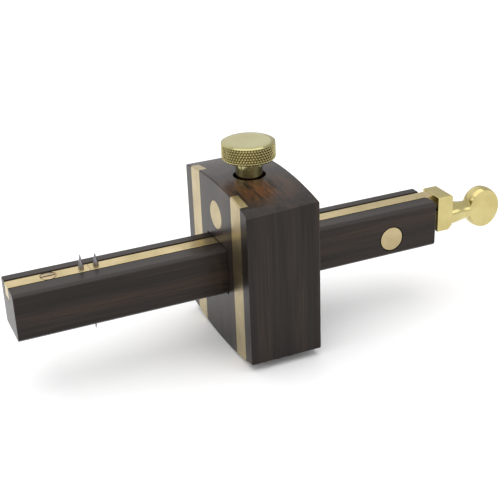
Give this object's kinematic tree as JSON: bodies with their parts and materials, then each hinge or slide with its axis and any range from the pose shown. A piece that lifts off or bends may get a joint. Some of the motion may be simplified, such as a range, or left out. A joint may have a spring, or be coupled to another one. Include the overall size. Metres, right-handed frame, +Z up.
{
  "type": "marking gauge",
  "caption": "Wooden marking and mortise gauge: arched stock sliding on a square beam, brass-faced fence, knurled thumbscrew, steel pins and a screw-adjusted pin slide.",
  "frame": {"origin": "under the middle of the gauge's overall box, level with the lowest point of the stock, which the gauge stands on", "axes": "+X along the beam from the pin end to the adjuster, +Z up along the thumbscrew, +Y across the stock"},
  "size_m": [0.2274, 0.065, 0.0877],
  "materials": {
    "rosewood": "oiled dark hardwood, satin, straight grain along the beam",
    "brass": "machined brass, satin to bright",
    "steel": "hardened steel, turned, slightly dark"
  },
  "bodies": {
    "stock": {"stock": "rosewood", "wear_strip_front": "brass", "wear_strip_back": "brass", "stock_cross_nut": "brass"},
    "clamp_shoe": {"pressure_shoe": "brass"},
    "clamp_screw": {"thumbscrew": "brass"},
    "beam": {"beam": "rosewood", "fixed_pin_bar": "brass", "plate_screw": "brass", "fixed_pin": "steel", "single_pin": "steel", "beam_cross_nut": "brass"},
    "pin_slide": {"slide_bar": "brass", "end_block": "brass", "moving_pin": "steel"},
    "adjuster": {"thumb_turn": "brass", "adjuster_rod": "steel", "retaining_collar": "brass", "collar_pin": "steel"}
  },
  "joints": [
    {"name": "beam_slide", "type": "slide", "parent": "stock", "child": "beam", "axis": [-1, 0, 0], "range_m": [-0.049, 0.07]},
    {"name": "pin_slide_travel", "type": "slide", "parent": "beam", "child": "pin_slide", "axis": [1, 0, 0], "range_m": [0, 0.038]},
    {"name": "adjuster_turn", "type": "hinge", "parent": "pin_slide", "child": "adjuster", "pos_m": [0.0864, 0, 0.03525], "axis": [1, 0, 0], "range_deg": [0, 13680]},
    {"name": "clamp_lift", "type": "slide", "parent": "stock", "child": "clamp_shoe", "axis": [0, 0, 1], "range_m": [0, 0.0015]},
    {"name": "thumbscrew_turn", "type": "hinge", "parent": "clamp_shoe", "child": "clamp_screw", "pos_m": [-0.00975, 0, 0.06], "axis": [0, 0, 1], "range_deg": [0, 432]}
  ],
  "couplings": [
    {"joint": "adjuster_turn", "follows": "pin_slide_travel", "rad_per_m": 6283.2},
    {"joint": "thumbscrew_turn", "follows": "clamp_lift", "rad_per_m": 5026.5}
  ]
}
